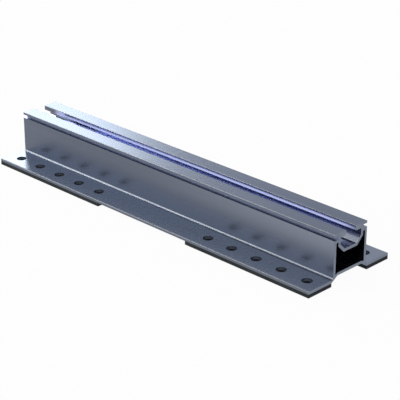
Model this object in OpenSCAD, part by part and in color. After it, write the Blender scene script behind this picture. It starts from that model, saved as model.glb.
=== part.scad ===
// Short mounting rail for a sheet-metal roof: one hollow extruded section with a slotted
// channel in its top, two screw flanges, and four rubber strips stuck under the flanges.
//
// Frame: origin at the centre of the length and of the width, on the underside of the
// rubber strips. +X runs along the rail, +Y to the back flange, +Z up. Millimetres.

/* [Rail] */
// Length of the extruded rail.
rail_len = 350; // [320:5:600]
// Width over both flanges.
rail_w = 90; // [86:0.5:110]
// Height of the extruded section, without the rubber.
rail_h = 37.6; // [35:0.2:45]
// Width over the two side walls of the box, and over the two lips above them.
box_w = 36.4; // [35:0.2:38.4]
// Thickness of each side wall.
wall_t = 2.1; // [1.6:0.1:2.6]
// Thickness of each flange.
flange_t = 2.3; // [2:0.1:3.2]
// Thickness of the web that closes the box below.
web_t = 2.3; // [1.6:0.1:2.6]
// Height of the web's underside above the flanges' underside.
web_lift = 4.1; // [2.6:0.1:4.6]
// Width of the flat part of the web's underside.
web_flat_w = 27; // [24:0.5:29]
// Width of the raised underside where it reaches the flanges.
web_foot_w = 40; // [38:0.5:40]
// Width of the flat part of the web's upper face.
web_top_w = 26.6; // [24:0.2:28]
// Depth the web's upper face falls from its flat part to the side walls.
web_dip = 1.1; // [0.3:0.1:1.4]

/* [Slot and nut channel] */
// Width of the slot in the top.
slot_w = 11; // [8:0.1:13]
// Thickness of the two lips beside the slot.
lip_t = 4; // [3:0.1:5]
// Clear width of the channel under the lips.
channel_w = 23; // [19:0.1:23.4]
// Clear depth of the channel, from the underside of the lips to its floor.
channel_d = 10.2; // [9:0.1:11.5]
// Thickness of the channel's wall.
channel_t = 2.3; // [1.8:0.1:2.6]
// Size of the 45-degree bevel in the channel's lower inside corners.
channel_bevel = 4.9; // [2:0.1:6]
// Depth of the pocket's roof below the top of the rail, between channel and side wall.
pocket_drop = 7; // [6.4:0.1:8]

/* [Grooves under the lips] */
// Height of the upright outer face of each lip, above its groove.
lip_face_h = 1.9; // [1.4:0.1:2.4]
// Distance from the middle plane to the upright inner face of each groove.
groove_reach = 14.2; // [13.4:0.1:15.5]
// Depth of each groove's lower face below the top of the rail.
shoulder_drop = 4.8; // [4:0.1:5.2]

/* [Rounding] */
// Fillet where each side wall stands on its flange.
foot_r = 1.5; // [0.5:0.1:3]
// Rounding of the flanges' upper outer edges.
flange_edge_r = 0.8; // [0.3:0.1:1]
// Rounding of the slot's edges and the lips' upper outer edges.
lip_edge_r = 0.4; // [0.2:0.1:0.6]
// Rounding inside the upper corners of the box.
box_r = 0.6; // [0.3:0.1:1]

/* [Screw holes] */
// Diameter of the screw holes in the flanges.
hole_d = 8.2; // [5:0.1:9]
// Distance between the two rows of holes.
row_gap = 65; // [58:0.5:74]
// Distance between neighbouring holes in a row.
hole_pitch = 25; // [20:0.5:26]
// Distance from the rail's end to the first hole.
hole_end = 12.5; // [8:0.5:14]
// Number of holes in each row at each end.
hole_n = 5; // [2:1:5]

/* [Rubber strips] */
// Length of each rubber strip, from the end of the rail.
pad_len = 125; // [122:0.5:140]
// Width of each rubber strip, from the flange's outer edge.
pad_w = 25; // [22:0.5:25]
// Thickness of each rubber strip.
pad_t = 3; // [2:0.1:4]
// Gap all round between a screw hole and the wider hole in the rubber below it.
pad_hole_gap = 0.4; // [0.2:0.1:1]

/* [Hidden] */
$fn = 48;
eps = 0.05;
past = 4;
half_len = rail_len / 2;
half_w = rail_w / 2;
half_box = box_w / 2;
hollow_w = box_w - 2 * wall_t;
hollow_z0 = web_lift + web_t;
hollow_z1 = rail_h - pocket_drop;
channel_top = rail_h - lip_t;
channel_floor = channel_top - channel_d;
channel_out_w = channel_w + 2 * channel_t;
channel_out_z = channel_floor - channel_t;
channel_out_bevel = channel_bevel + channel_t * (2 - sqrt(2));
hole_y = row_gap / 2;
pad_mid_y = half_w - pad_w / 2;
pad_mid_x = half_len - pad_len / 2;

// Section pieces. In the plane of the section x is across the rail and y is up
// from the underside of the flanges.

// Trough with a flat floor and two bevelled lower corners.
module trough(w, z0, z1, bevel)
{
    polygon([
        [-w / 2, z1],
        [-w / 2, z0 + bevel],
        [-w / 2 + bevel, z0],
        [w / 2 - bevel, z0],
        [w / 2, z0 + bevel],
        [w / 2, z1]
    ]);
}

// Material outside a rounded outer corner at y, z; sy and sz point out of the corner.
module corner_waste(y, z, sy, sz, r)
{
    difference()
    {
        translate([sy > 0 ? y - r : y - eps, sz > 0 ? z - r : z - eps])
            square(r + eps);
        translate([y - sy * r, z - sz * r])
            circle(r = r);
    }
}

// Material added in an inner corner at y, z; sy and sz point into the open side.
module corner_fill(y, z, sy, sz, r)
{
    difference()
    {
        translate([sy > 0 ? y - eps : y - r, sz > 0 ? z - eps : z - r])
            square(r + eps);
        translate([y + sy * r, z + sz * r])
            circle(r = r);
    }
}

// Outline of flanges and box before the hollows are taken out.
module solid_outline()
{
    translate([-half_w, 0])
        square([rail_w, flange_t]);
    translate([-half_box, 0])
        square([box_w, rail_h]);
    for (s = [-1, 1])
        corner_fill(s * half_box, flange_t, s, 1, foot_r);
}

// Raised underside: a flat between two slants.
module underside_relief()
{
    polygon([
        [-web_foot_w / 2, 0],
        [-web_flat_w / 2, web_lift],
        [web_flat_w / 2, web_lift],
        [web_foot_w / 2, 0],
        [web_foot_w / 2, -past],
        [-web_foot_w / 2, -past]
    ]);
}

// Both grooves under the lips, square in section and open to the sides.
module lip_grooves()
{
    for (s = [-1, 1])
        translate([s > 0 ? groove_reach : -half_box - past, rail_h - shoulder_drop])
            square([half_box + past - groove_reach, shoulder_drop - lip_face_h]);
}

// Slot in the top.
module slot()
{
    translate([-slot_w / 2, channel_top - eps])
        square([slot_w, lip_t + past]);
}

// Hollow of the box around the hanging channel, with a floor that falls to the side walls.
module box_hollow()
{
    difference()
    {
        polygon([
            [-hollow_w / 2, hollow_z1],
            [-hollow_w / 2, hollow_z0 - web_dip],
            [-web_top_w / 2, hollow_z0],
            [web_top_w / 2, hollow_z0],
            [hollow_w / 2, hollow_z0 - web_dip],
            [hollow_w / 2, hollow_z1]
        ]);
        trough(channel_out_w, channel_out_z, rail_h, channel_out_bevel);
        for (s = [-1, 1])
            corner_waste(s * hollow_w / 2, hollow_z1, s, 1, box_r);
    }
}

// Section of the rail.
module rail_section()
{
    difference()
    {
        solid_outline();
        underside_relief();
        box_hollow();
        trough(channel_w, channel_floor, channel_top, channel_bevel);
        slot();
        lip_grooves();
        for (s = [-1, 1])
        {
            corner_waste(s * half_w, flange_t, s, 1, flange_edge_r);
            corner_waste(s * half_box, rail_h, s, 1, lip_edge_r);
            corner_waste(s * slot_w / 2, rail_h, -s, 1, lip_edge_r);
            corner_waste(s * slot_w / 2, channel_top, -s, -1, lip_edge_r);
        }
    }
}

// Places a drill at each screw hole of one flange end; ex and sy are the signs of its side.
module at_holes(ex, sy)
{
    for (i = [0 : hole_n - 1])
        translate([ex * (half_len - hole_end - i * hole_pitch), sy * hole_y, 0])
            children();
}

// Extruded rail with the screw holes drilled through its flanges.
module rail()
{
    color([0.62, 0.65, 0.70])
        difference()
        {
            translate([-half_len, 0, pad_t])
                rotate([90, 0, 90])
                    linear_extrude(height = rail_len)
                        rail_section();
            for (ex = [-1, 1])
                for (sy = [-1, 1])
                    at_holes(ex, sy)
                        translate([0, 0, pad_t - past])
                            cylinder(d = hole_d, h = flange_t + 2 * past);
        }
}

// Rubber strip under one end of one flange, with a wider hole under each screw hole.
module pad(ex, sy)
{
    color([0.13, 0.14, 0.14])
        difference()
        {
            translate([ex * pad_mid_x - pad_len / 2, sy * pad_mid_y - pad_w / 2, 0])
                cube([pad_len, pad_w, pad_t]);
            at_holes(ex, sy)
                translate([0, 0, -past])
                    cylinder(d = hole_d + 2 * pad_hole_gap, h = pad_t + 2 * past);
        }
}

module pad_front_left()
{
    pad(-1, -1);
}

module pad_front_right()
{
    pad(1, -1);
}

module pad_back_left()
{
    pad(-1, 1);
}

module pad_back_right()
{
    pad(1, 1);
}

rail();
pad_front_left();
pad_front_right();
pad_back_left();
pad_back_right();
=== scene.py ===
import math

import bpy
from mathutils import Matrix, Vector


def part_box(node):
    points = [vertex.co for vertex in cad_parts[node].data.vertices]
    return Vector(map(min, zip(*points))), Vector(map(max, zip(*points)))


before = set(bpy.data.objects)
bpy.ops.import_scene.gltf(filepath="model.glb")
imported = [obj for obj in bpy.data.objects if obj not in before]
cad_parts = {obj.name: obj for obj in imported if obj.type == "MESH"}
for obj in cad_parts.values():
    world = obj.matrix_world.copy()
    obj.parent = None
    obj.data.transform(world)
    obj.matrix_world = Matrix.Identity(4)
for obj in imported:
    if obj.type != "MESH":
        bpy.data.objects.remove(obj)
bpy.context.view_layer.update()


# Rail. One aluminium extrusion: a hollow box with a slotted nut channel hung in its top and a
# screw flange on each side. It is pressed through a die, which leaves faint lines along it, sawn
# to length and drilled. Its channel is painted paler and bluer as a painted reflection, the lips'
# corners carry a painted highlight, and the bores, the flanges' outer corners and the channel's
# left end are painted shade. The side walls and flange tops are painted light, paler to the right.

drawn_pale = (0.153, 0.170, 0.210, 1.0)
drawn_deep = (0.141, 0.157, 0.196, 1.0)
sheen_pale = (0.420, 0.449, 0.605, 1.0)
sheen_deep = (0.402, 0.430, 0.580, 1.0)
sawn_pale = (0.215, 0.236, 0.285, 1.0)
sawn_deep = (0.187, 0.205, 0.252, 1.0)
lightened_pale = (0.222, 0.245, 0.302, 1.0)
highlight_pale = (0.180, 0.198, 0.240, 1.0)
shade_dark = (0.115, 0.127, 0.155, 1.0)
bore_shade_dark = (0.082, 0.095, 0.126, 1.0)
grazing_tint = (0.60, 0.66, 0.80, 1.0)

drawn_roughness = 0.27
wall_roughness = 0.30
clean_roughness = 0.10
sawn_roughness = 0.40
bored_roughness = 0.45
corner_roughness = 0.40
roughness_swing = 0.08

cloud_size = 0.045
band_pitch = 0.0060
die_line_pitch = 0.0011
saw_line_pitch = 0.0006
scuff_size = 0.004
cloud_stretch = (0.4, 1.0, 1.0)
line_stretch = (0.004, 1.0, 1.0)
saw_line_stretch = (1.0, 0.05, 1.0)
scuff_stretch = (0.3, 1.0, 1.0)
medium_detail = 3.0
fine_detail = 4.0
noise_middle = 0.5
cloud_share = 0.35
band_share = 0.35
die_line_share = 0.30
saw_line_share = 0.5
scuff_share = 0.6
streak_contrast = (0.38, 0.62)
sawn_contrast = (0.35, 0.65)
scuff_contrast = (0.35, 0.75)
die_line_depth = 0.000006
saw_line_depth = 0.00003

# Where one finish or painted light fades into the next, from and to: along X from the middle of the
# rail, across it from the middle plane, above its underside, or as a sum of the last two at its corners.
right_dimming_end = (0.1500, 0.1680)
left_lip_shade_end = (0.1560, 0.1640)
left_wall_shade_end = (0.1300, 0.1480)
wall_lightening_ramp = (-0.0700, 0.2000)
flange_lightening_ramp = (0.0200, 0.2000)
bored_part = (0.0560, 0.0570)
channel_wall = (0.0110, 0.0113)
channel_side = (0.0116, 0.0118)
groove_reach = (0.0138, 0.0140)
wall_inside = (0.0176, 0.0178)
wall_outside = (0.0186, 0.0196)
flange_root = (0.0200, 0.0210)
flange_outside = (0.0400, 0.0410)
flange_top_low = (0.0050, 0.0052)
flange_top_high = (0.0054, 0.0056)
wall_lightening_height = (0.0150, 0.0350)
channel_low = (0.0261, 0.0263)
channel_wall_low = (0.0305, 0.0312)
groove_low = (0.0356, 0.0358)
groove_top = (0.0387, 0.0389)
wall_top = (0.0358, 0.0360)
lip_bottom = (0.0363, 0.0366)
channel_top = (0.0401, 0.0403)
flange_corner = (0.0493, 0.0499)
lip_corner = (0.0582, 0.0588)
sawn_skin = 0.0002

hole_row = 0.0325
hole_half_pitch = 0.0125
hole_edge = (0.0041, 0.0044)

right_dimming_share = 0.76
left_wall_shade_share = 0.95
groove_sheen_share = 0.2
flange_share = 0.25
flange_share_rightward = 0.45

weld_reach = 0.000001
edge_break = 0.0002
edge_steps = 2
edge_angle = math.radians(35)
flat_weight = 100


class Wire:
    """An output socket in a node tree. Sums on it add Math nodes, and make() adds any other node."""

    def __init__(self, tree, socket=None):
        self.tree = tree
        self.socket = socket

    def make(self, kind, settings=None, values=None, output=0):
        node = self.tree.nodes.new(kind)
        for name, value in (settings or {}).items():
            setattr(node, name, value)
        for name, value in (values or {}).items():
            if isinstance(value, Wire):
                self.tree.links.new(value.socket, node.inputs[name])
            else:
                node.inputs[name].default_value = value
        return Wire(self.tree, node.outputs[output])

    def sum(self, operation, *terms):
        return self.make("ShaderNodeMath", {"operation": operation}, dict(enumerate(terms)))

    def __add__(self, other):
        return self.sum("ADD", self, other)

    __radd__ = __add__

    def __sub__(self, other):
        return self.sum("SUBTRACT", self, other)

    def __rsub__(self, other):
        return self.sum("SUBTRACT", other, self)

    def __mul__(self, other):
        return self.sum("MULTIPLY", self, other)

    __rmul__ = __mul__

    def __abs__(self):
        return self.sum("ABSOLUTE", self)

    def part(self, axis):
        """X, Y or Z of this place."""
        return self.make("ShaderNodeSeparateXYZ", values={"Vector": self}, output=axis)

    def step(self, low, high):
        """0 below low, 1 above high and smooth between."""
        settings = {"interpolation_type": "SMOOTHSTEP"}
        values = {"Value": self, "From Min": low, "From Max": high}
        return self.make("ShaderNodeMapRange", settings, values)

    def tint(self, low, high):
        """The colour between low, at a factor of 0, and high, at 1."""
        # A Mix node has its colours in sockets 6 and 7, and their mixture in output 2.
        return self.make("ShaderNodeMix", {"data_type": "RGBA"}, {0: self, 6: low, 7: high}, output=2)

    def noise(self, where, size, detail=2.0, stretch=(1.0, 1.0, 1.0)):
        """Noise with cells of a size in metres, drawn out along the axes whose stretch is small."""
        mapped = self.make("ShaderNodeMapping", values={"Vector": where, "Scale": stretch})
        values = {"Vector": mapped, "Scale": 1.0 / size, "Detail": detail}
        return self.make("ShaderNodeTexNoise", values=values)

    def bump(self):
        """The normal of a surface with this relief, in metres."""
        values = {"Strength": 1.0, "Distance": 1.0, "Height": self}
        return self.make("ShaderNodeBump", values=values)

    def end(self, kind="ShaderNodeOutputMaterial"):
        """Links this shader to the output of its tree."""
        output = self.tree.nodes.new(kind)
        self.tree.links.new(self.socket, output.inputs["Surface"])


def empty_material(name):
    """A material with an empty tree, and a Wire to draw in it."""
    material = bpy.data.materials.new(name)
    material.use_nodes = True
    material.node_tree.nodes.clear()
    return material, Wire(material.node_tree)


def mill_aluminium(rail_end):
    """Aluminium for a rail that reaches from -rail_end to rail_end along X."""
    material, pen = empty_material("mill_aluminium")
    place = pen.make("ShaderNodeTexCoord", output="Object")
    rightward = place.part("X")
    leftward = 0 - rightward
    along = abs(rightward)
    across = abs(place.part("Y"))
    above = place.part("Z")
    corner = across + above

    # Sawn at both ends, and bored in a row of holes along each flange, but not in the middle.
    sawn = along.step(rail_end - sawn_skin, rail_end - sawn_skin / 2)
    beside_hole = hole_half_pitch - pen.sum("PINGPONG", along, hole_half_pitch)
    off_row = across - hole_row
    from_hole = pen.sum("SQRT", beside_hole * beside_hole + off_row * off_row)
    # Painted shade: the bores are painted dark, as shade in the holes.
    bore_and_shade = along.step(*bored_part) * (1 - from_hole.step(*hole_edge))

    # Smoother, and painted paler and bluer, in the channel: a painted reflection. There is less of it
    # near the right end below the lips, and some in the grooves. The left end is painted darker only to
    # hold back a mirror image of the lip lamp, which the real rail hasn't.
    in_width = 1 - across.step(*channel_side)
    in_height = above.step(*channel_low) * (1 - above.step(*channel_top))
    below_lips = 1 - above.step(*lip_bottom)
    right_end_dimming = right_dimming_share * rightward.step(*right_dimming_end) * below_lips
    left_lip_painted_shade = leftward.step(*left_lip_shade_end) * (1 - below_lips)
    left_wall_painted_shade = left_wall_shade_share * leftward.step(*left_wall_shade_end)
    left_wall_painted_shade = left_wall_painted_shade * across.step(*channel_wall) * above.step(*channel_wall_low)
    clean_and_sheen = in_width * in_height * (1 - right_end_dimming) * (1 - left_lip_painted_shade) * (1 - left_wall_painted_shade)
    in_groove = across.step(*groove_reach) * above.step(*groove_low) * (1 - above.step(*groove_top))
    clean_and_sheen = clean_and_sheen + groove_sheen_share * in_groove

    # Painted light: the side walls are painted paler towards the right, and the tops of the flanges
    # paler all along and more so to the right, to meet the photograph's tones. Whether the metal or
    # its light is paler there can't be told from it.
    wall = across.step(*wall_inside) * (1 - across.step(*wall_outside)) * (1 - above.step(*wall_top))
    painted_lightening = wall * rightward.step(*wall_lightening_ramp) * above.step(*wall_lightening_height)
    flange_top = across.step(*flange_root) * above.step(*flange_top_low)
    flange_top = flange_top * (1 - above.step(*flange_top_high))
    flange_lightening = flange_share + flange_share_rightward * rightward.step(*flange_lightening_ramp)
    painted_lightening = painted_lightening + flange_top * flange_lightening

    # Painted shade at the outer corners of the flanges, to hold back their highlight, and a painted
    # highlight at the corners of the lips, broken up by scuffs.
    flange_corner_shade = across.step(*flange_outside) * corner.step(*flange_corner) * (1 - sawn)
    scuffs = pen.noise(place, scuff_size, fine_detail, scuff_stretch).step(*scuff_contrast)
    lip_corner_highlight = corner.step(*lip_corner) * ((1 - scuff_share) + scuff_share * scuffs) * (1 - sawn)

    clouds = pen.noise(place, cloud_size, medium_detail, cloud_stretch)
    bands = pen.noise(place, band_pitch, stretch=line_stretch)
    die_lines = pen.noise(place, die_line_pitch, medium_detail, line_stretch)
    saw_lines = pen.noise(place, saw_line_pitch, stretch=saw_line_stretch)
    streaks = cloud_share * clouds + band_share * bands + die_line_share * die_lines
    grain = streaks.step(*streak_contrast)
    # Paler, bluer metal in the channel is a painted reflection, and the paler walls and flange tops are
    # painted light.
    drawn_and_painted_light = clean_and_sheen.tint(grain.tint(drawn_deep, drawn_pale), grain.tint(sheen_deep, sheen_pale))
    drawn_and_painted_light = painted_lightening.tint(drawn_and_painted_light, lightened_pale)
    # The dark bores and flange corners are painted shade, and the pale lip corners a painted highlight.
    with_painted_light = lip_corner_highlight.tint(flange_corner_shade.tint(bore_and_shade.tint(drawn_and_painted_light, bore_shade_dark), shade_dark), highlight_pale)
    cut = saw_line_share * saw_lines + (1 - saw_line_share) * clouds
    cut = cut.step(*sawn_contrast).tint(sawn_deep, sawn_pale)
    roughness = (
        drawn_roughness
        + roughness_swing * (streaks - noise_middle)
        + (wall_roughness - drawn_roughness) * wall
        + (clean_roughness - drawn_roughness) * clean_and_sheen
        + (bored_roughness - drawn_roughness) * bore_and_shade
        + (corner_roughness - drawn_roughness) * (lip_corner_highlight + flange_corner_shade)
        + (sawn_roughness - drawn_roughness) * sawn
    )
    relief = die_line_depth * die_lines * (1 - sawn) * (1 - clean_and_sheen) + saw_line_depth * saw_lines * sawn
    surface = pen.make(
        "ShaderNodeBsdfPrincipled",
        values={
            "Base Color": sawn.tint(with_painted_light, cut),
            "Metallic": 1.0,
            "Roughness": roughness,
            "Specular Tint": grazing_tint,
            "Normal": relief.bump(),
        },
    )
    surface.end()
    return material


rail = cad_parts["rail"]
_, far_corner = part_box("rail")
rail.data.materials.clear()
rail.data.materials.append(mill_aluminium(far_corner.x))

weld = rail.modifiers.new("joined_faces", "WELD")
weld.merge_threshold = weld_reach
edges = rail.modifiers.new("broken_edges", "BEVEL")
edges.width = edge_break
edges.segments = edge_steps
edges.limit_method = "ANGLE"
edges.angle_limit = edge_angle
flats = rail.modifiers.new("even_flats", "WEIGHTED_NORMAL")
flats.weight = flat_weight
flats.keep_sharp = True


# Strips. Four strips of black closed-cell EPDM rubber, cut from sheet, punched under the screw
# holes and stuck under the flanges. They seal the screws and keep the metal off the roof.

rubber_pale = (0.027, 0.032, 0.036, 1.0)
rubber_deep = (0.013, 0.016, 0.019, 1.0)
rubber_contrast = (0.35, 0.65)
rubber_roughness = 0.78
rubber_roughness_swing = 0.15
rubber_gloss = 0.25
cell_size = 0.0008
cell_depth = 0.00010
cell_share = 0.55
patch_size = 0.016


def epdm():
    material, pen = empty_material("epdm")
    place = pen.make("ShaderNodeTexCoord", output="Object")
    cells = pen.noise(place, cell_size, fine_detail)
    patches = pen.noise(place, patch_size)
    mottle = (cell_share * cells + (1 - cell_share) * patches).step(*rubber_contrast)
    relief = cell_depth * cells
    surface = pen.make(
        "ShaderNodeBsdfPrincipled",
        values={
            "Base Color": mottle.tint(rubber_deep, rubber_pale),
            "Roughness": rubber_roughness + rubber_roughness_swing * (cells - noise_middle),
            "Specular IOR Level": rubber_gloss,
            "Normal": relief.bump(),
        },
    )
    surface.end()
    return material


rubber = epdm()
for node in ("pad_front_left", "pad_front_right", "pad_back_left", "pad_back_right"):
    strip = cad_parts[node]
    strip.data.materials.clear()
    strip.data.materials.append(rubber)


# Floor. A wide pale table that the rail stands on. Camera, glossy and transmission rays see
# most of it as plain white, and the rest of it keeps the rail's shadow.

floor_size = 24.0
floor_drop = 0.0001
floor_tone = (0.82, 0.82, 0.82, 1.0)
floor_white = 0.96
plain_white = (1.0, 1.0, 1.0, 1.0)


def seen_or_mirrored(pen):
    """1 for camera, glossy and transmission rays, and 0 for those that carry light."""
    camera_ray = pen.make("ShaderNodeLightPath", output="Is Camera Ray")
    glossy_ray = pen.make("ShaderNodeLightPath", output="Is Glossy Ray")
    glass_ray = pen.make("ShaderNodeLightPath", output="Is Transmission Ray")
    return camera_ray + glossy_ray + glass_ray


def pale_table():
    material, pen = empty_material("pale_table")
    matt = pen.make("ShaderNodeBsdfDiffuse", values={"Color": floor_tone})
    white = pen.make("ShaderNodeEmission", values={"Color": plain_white, "Strength": 1.0})
    share = floor_white * seen_or_mirrored(pen)
    pen.make("ShaderNodeMixShader", values={0: share, 1: matt, 2: white}).end()
    return material


bpy.ops.object.select_all(action="DESELECT")
bpy.ops.mesh.primitive_plane_add(size=floor_size, location=(0.0, 0.0, -floor_drop))
floor = bpy.context.object
floor.name = "floor"
floor.data.materials.append(pale_table())


# Studio. A pale room with four upright soft lamps on the left. A narrow one behind the rail has
# light that fades along the lips, and one above it reaches into the slot. In front of the rail,
# a high one lights the fillets and edges, and a low one fills the side wall.

room_tone = (0.80, 0.86, 0.96, 1.0)
room_strength = 0.55
lamps = {
    "lip_lamp": {"from_azimuth": 30.0, "to_azimuth": 41.3, "low": 17.0, "high": 33.0, "radiance": 8.4},
    "slot_lamp": {"from_azimuth": 21.0, "to_azimuth": 41.0, "low": 35.0, "high": 50.0, "radiance": 2.05},
    "edge_lamp": {"from_azimuth": -28.0, "to_azimuth": 0.0, "low": 33.0, "high": 42.0, "radiance": 13.4},
    "low_lamp": {"from_azimuth": -65.0, "to_azimuth": -32.0, "low": 8.0, "high": 32.0, "radiance": 4.2},
}
lamp_tone = (1.0, 0.97, 0.84)
lamp_distance = 4.0


def softbox(name, from_azimuth, to_azimuth, low, high, radiance):
    """An upright lamp between two azimuths, from -X towards +Y, and two elevations, in degrees."""
    azimuth = math.radians((from_azimuth + to_azimuth) / 2)
    spread = math.radians(to_azimuth - from_azimuth)
    bottom = lamp_distance * math.tan(math.radians(low))
    top = lamp_distance * math.tan(math.radians(high))
    outward = Vector((-math.cos(azimuth), math.sin(azimuth), 0.0))
    data = bpy.data.lights.new(name, "AREA")
    data.shape = "RECTANGLE"
    data.size = 2 * lamp_distance * math.tan(spread / 2)
    data.size_y = top - bottom
    data.energy = radiance * math.pi * data.size * data.size_y
    data.color = lamp_tone
    lamp = bpy.data.objects.new(name, data)
    bpy.context.collection.objects.link(lamp)
    lamp.location = outward * lamp_distance + Vector((0.0, 0.0, (bottom + top) / 2))
    lamp.rotation_euler = outward.to_track_quat("Z", "Y").to_euler()
    lamp.visible_camera = False


for lamp_name, lamp_values in lamps.items():
    softbox(lamp_name, **lamp_values)

world = bpy.data.worlds.new("pale_room")
bpy.context.scene.world = world
world.use_nodes = True
world.node_tree.nodes.clear()
room = Wire(world.node_tree)
lit = room.make("ShaderNodeBackground", values={"Color": room_tone, "Strength": room_strength})
white = room.make("ShaderNodeBackground", values={"Color": plain_white, "Strength": 1.0})
both = room.make("ShaderNodeMixShader", values={0: seen_or_mirrored(room), 1: lit, 2: white})
both.end("ShaderNodeOutputWorld")


# Camera. A long lens at the photograph's angle, from the right front and a little above. It is
# placed and aimed so that the rail fills the frame as it does in the photograph.

camera_azimuth = math.radians(44.863)
camera_elevation = math.radians(24.125)
camera_distance = 1.18068
camera_target = Vector((0.02154, 0.0, 0.014015))
camera_lens = 134.16
camera_film = 36.0
camera_reach = 100.0

level = math.cos(camera_elevation)
backward = Vector((
    math.sin(camera_azimuth) * level,
    -math.cos(camera_azimuth) * level,
    math.sin(camera_elevation),
))
camera = bpy.data.objects.new("camera", bpy.data.cameras.new("camera"))
bpy.context.collection.objects.link(camera)
camera.data.lens = camera_lens
camera.data.sensor_width = camera_film
camera.data.clip_end = camera_reach
camera.location = camera_target + backward * camera_distance
camera.rotation_euler = backward.to_track_quat("Z", "Y").to_euler()
bpy.context.scene.camera = camera
bpy.context.scene.view_settings.view_transform = "Standard"
